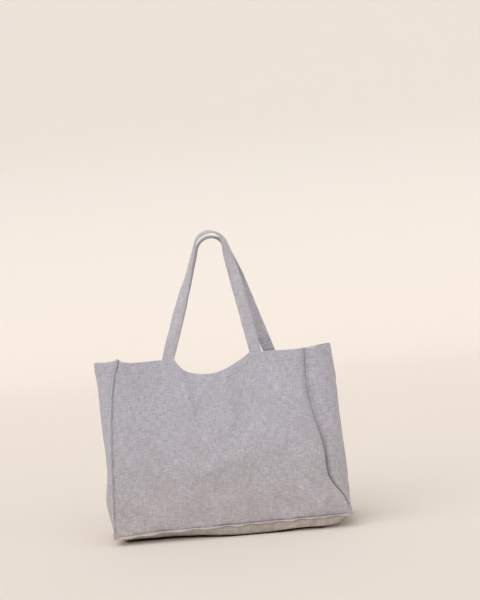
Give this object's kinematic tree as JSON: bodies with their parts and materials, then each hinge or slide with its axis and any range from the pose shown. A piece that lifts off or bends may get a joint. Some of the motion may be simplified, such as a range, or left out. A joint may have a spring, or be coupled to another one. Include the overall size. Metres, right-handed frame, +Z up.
{
  "type": "shopping bag",
  "caption": "Soft cloth shopping bag with side gussets, pinched seams, a rounded base, an open hemmed mouth and flat strap handles held upright.",
  "frame": {"origin": "On the floor, under the middle of the base.", "axes": "+X is the right of the bag as seen from its front, -Y is its front and +Z is up."},
  "size_m": [0.5142, 0.1584, 0.6317],
  "materials": {
    "cloth": "matte",
    "strap": "matte",
    "thread": "satin"
  },
  "bodies": {
    "bag": {"front_panel": "cloth", "back_panel": "cloth", "left_gusset": "cloth", "right_gusset": "cloth", "base_panel": "cloth", "front_base_seam": "cloth", "right_base_seam": "cloth", "back_base_seam": "cloth", "left_base_seam": "cloth", "front_left_seam": "cloth", "front_right_seam": "cloth", "back_right_seam": "cloth", "back_left_seam": "cloth", "front_hem_stitching": "thread", "right_hem_stitching": "thread", "back_hem_stitching": "thread", "left_hem_stitching": "thread", "front_handle_left_tab": "strap", "front_handle_right_tab": "strap", "front_handle_left_stitching": "thread", "front_handle_right_stitching": "thread", "back_handle_left_tab": "strap", "back_handle_right_tab": "strap", "back_handle_left_stitching": "thread", "back_handle_right_stitching": "thread"},
    "front_handle": {"front_handle": "strap"},
    "back_handle": {"back_handle": "strap"}
  },
  "joints": [
    {"name": "front_handle_swing", "type": "hinge", "parent": "bag", "child": "front_handle", "pos_m": [-0.015, -0.01679, 0.372], "axis": [1, 0, 0], "range_deg": [0, 155]},
    {"name": "back_handle_swing", "type": "hinge", "parent": "bag", "child": "back_handle", "pos_m": [-0.0025, 0.01845, 0.366], "axis": [-1, 0, 0], "range_deg": [0, 155]}
  ]
}
